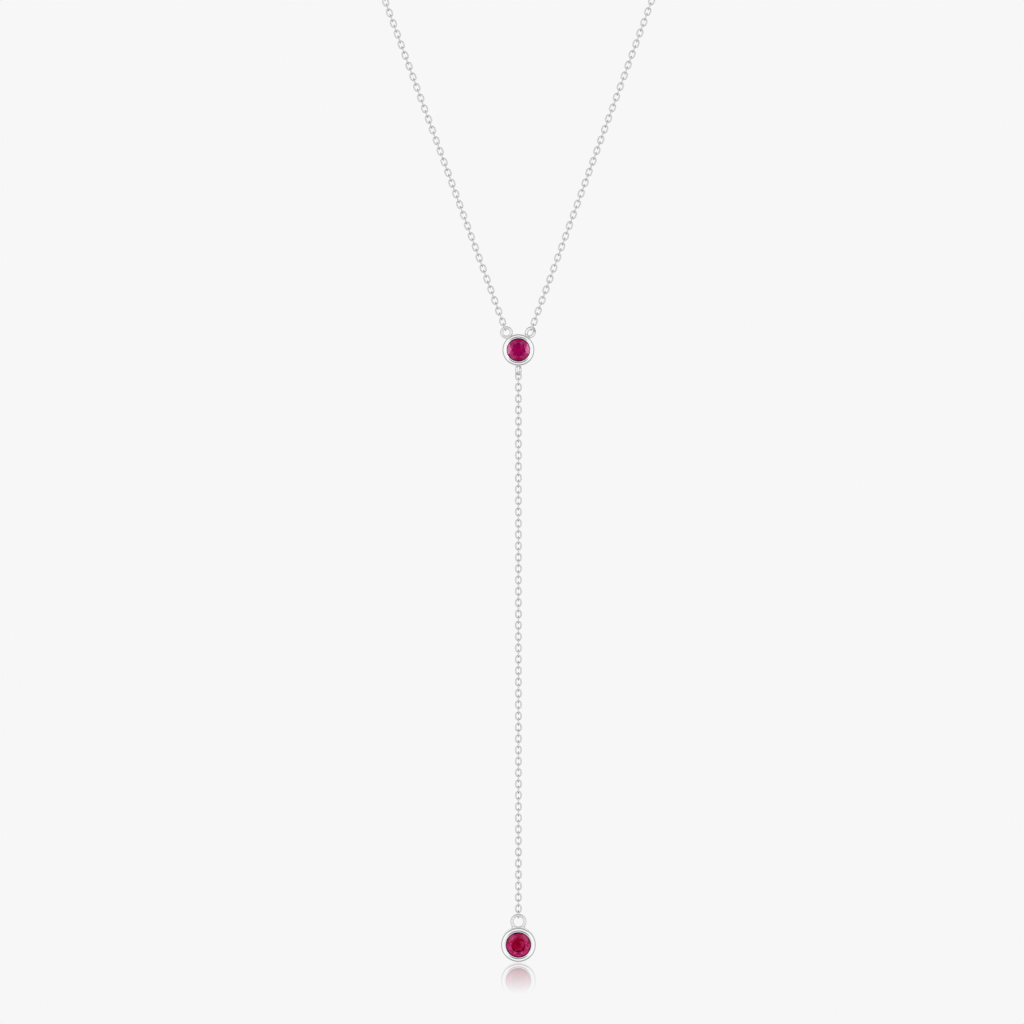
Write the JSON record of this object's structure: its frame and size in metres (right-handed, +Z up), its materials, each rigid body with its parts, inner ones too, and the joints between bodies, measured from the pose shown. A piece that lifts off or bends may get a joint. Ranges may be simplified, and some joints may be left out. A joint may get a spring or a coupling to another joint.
{
  "type": "y necklace",
  "caption": "Fine cable-chain Y necklace with a round bezel-set red stone at the fork and another hanging free from a long drop chain.",
  "frame": {"origin": "middle of the clasp and its rings, where the necklace hangs at the nape of the neck", "axes": "+Z up, -Y to the front, so the stones face -Y, and +X to the viewer's right"},
  "size_m": [0.1, 0.0907, 0.2411],
  "materials": {
    "setting_metal": "bright polished white metal",
    "chain_metal": "polished white metal wire",
    "upper_stone": "clear magenta-red, faceted and polished",
    "lower_stone": "clear deep red, faceted and polished"
  },
  "bodies": {
    "necklace": {"station_setting": "setting_metal", "station_stone": "upper_stone", "drop_chain": "chain_metal", "neck_chain_left": "chain_metal", "neck_chain_right": "chain_metal", "clasp": "setting_metal", "end_ring": "setting_metal"},
    "drop": {"drop_setting": "setting_metal", "drop_stone": "lower_stone"}
  },
  "joints": [
    {"name": "drop_swing", "type": "hinge", "parent": "necklace", "child": "drop", "pos_m": [0, -0.08752, -0.23194], "axis": [1, 0, 0], "range_deg": [-120, 120]}
  ]
}
